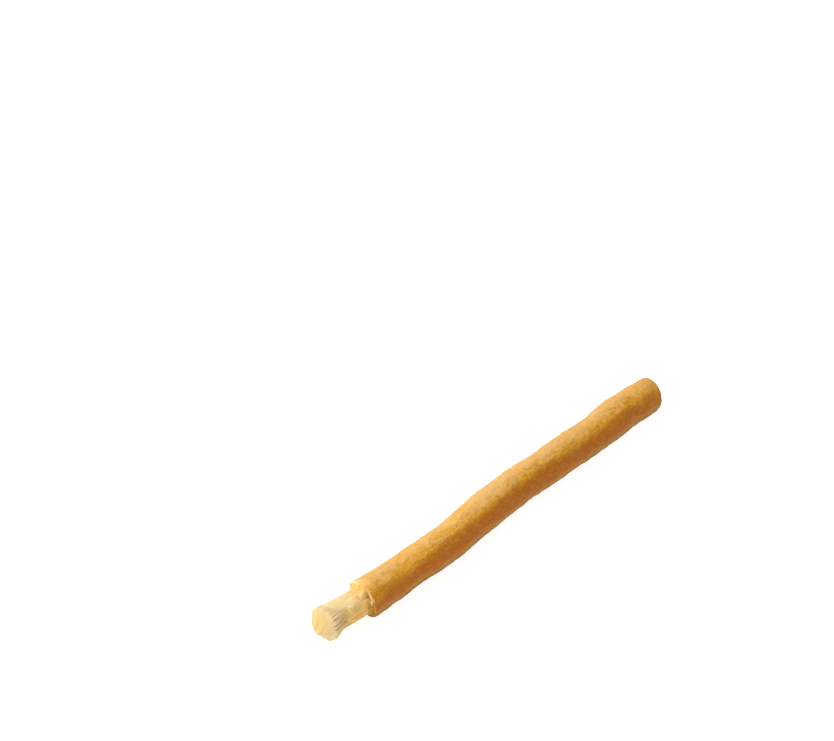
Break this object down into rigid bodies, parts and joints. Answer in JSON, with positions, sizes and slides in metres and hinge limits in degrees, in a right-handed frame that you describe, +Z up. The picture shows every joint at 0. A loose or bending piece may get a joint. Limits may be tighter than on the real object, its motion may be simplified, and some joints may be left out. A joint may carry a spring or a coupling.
{
  "type": "miswak stick",
  "caption": "Chewing stick of golden-barked root, peeled at one end, where the bare wood is frayed into a short brush; it lies on its side.",
  "frame": {"origin": "on the surface that the stick lies on, under the middle of its bounding box", "axes": "+X runs along the stick from the brush end to the butt end, and +Z is up, away from the surface"},
  "size_m": [0.15, 0.0135, 0.0126],
  "materials": {
    "bark": "thin golden-tan root bark, satin, finely mottled, with faint wrinkles along its length",
    "bare_wood": "matte cream-yellow fibrous wood, split into bristles at the tip"
  },
  "bodies": {
    "root": {"miswak_stick": "bark"}
  },
  "joints": []
}
